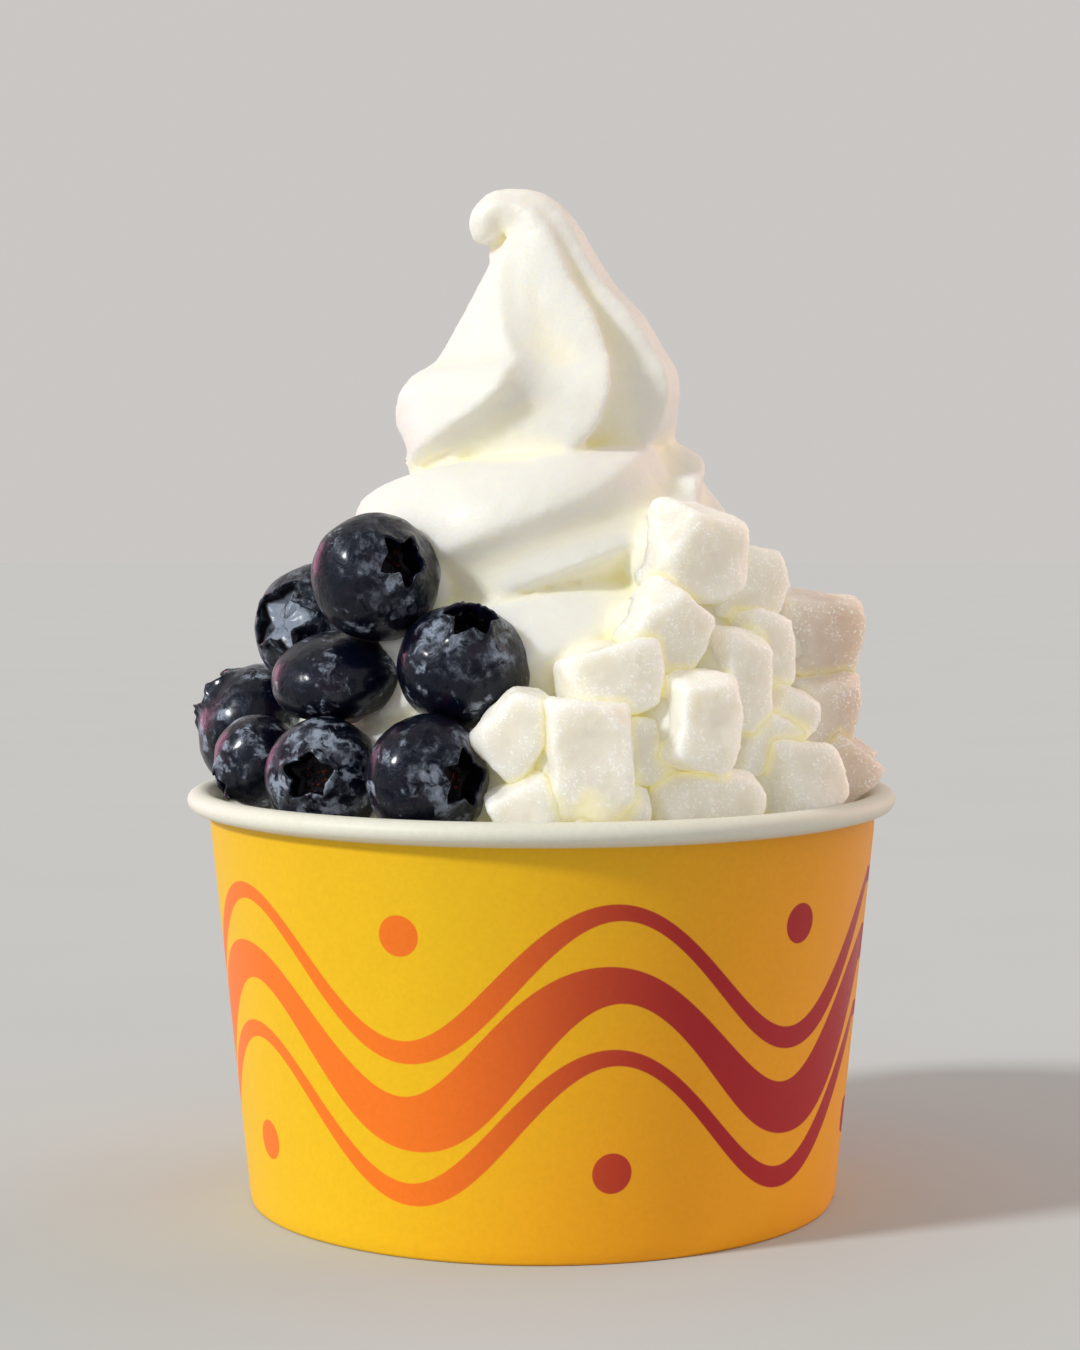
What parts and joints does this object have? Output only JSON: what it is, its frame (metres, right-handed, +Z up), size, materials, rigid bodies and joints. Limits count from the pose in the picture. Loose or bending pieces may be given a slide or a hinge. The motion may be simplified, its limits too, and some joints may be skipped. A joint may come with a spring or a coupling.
{
  "type": "frozen yogurt cup",
  "caption": "Round paper cup with a rolled rim, heaped with a ridged soft-serve swirl that curls over at its tip, with blueberries on one side and soft mochi blocks on the other.",
  "frame": {"origin": "centre of the cup's foot, on the surface that it stands on", "axes": "+Z up along the cup's axis, -Y towards the front of the swirl, +X to the right with the mochi"},
  "size_m": [0.096, 0.096, 0.1367],
  "materials": {
    "printed_paper": "satin coated paper, printed yellow turning to orange",
    "base_paper": "plain coated paper",
    "frozen_yogurt": "soft creamy sheen with a fine frosty grain",
    "blueberry": "dark skin with patchy pale bloom and wet highlights",
    "mochi": "translucent rice dough with a powdery, faintly crystalline surface"
  },
  "bodies": {
    "root": {"cup_wall": "printed_paper", "cup_base": "base_paper", "frozen_yogurt": "frozen_yogurt", "blueberry_1": "blueberry", "blueberry_2": "blueberry", "blueberry_3": "blueberry", "blueberry_4": "blueberry", "blueberry_5": "blueberry", "blueberry_6": "blueberry", "blueberry_7": "blueberry", "blueberry_8": "blueberry", "blueberry_9": "blueberry", "blueberry_10": "blueberry", "blueberry_11": "blueberry", "mochi_1": "mochi", "mochi_2": "mochi", "mochi_3": "mochi", "mochi_4": "mochi", "mochi_5": "mochi", "mochi_6": "mochi", "mochi_7": "mochi", "mochi_8": "mochi", "mochi_9": "mochi", "mochi_10": "mochi", "mochi_11": "mochi", "mochi_12": "mochi", "mochi_13": "mochi", "mochi_14": "mochi", "mochi_15": "mochi", "mochi_16": "mochi", "mochi_17": "mochi", "mochi_18": "mochi", "mochi_19": "mochi", "mochi_20": "mochi", "mochi_21": "mochi", "mochi_22": "mochi", "mochi_23": "mochi", "mochi_24": "mochi", "mochi_25": "mochi"}
  },
  "joints": []
}
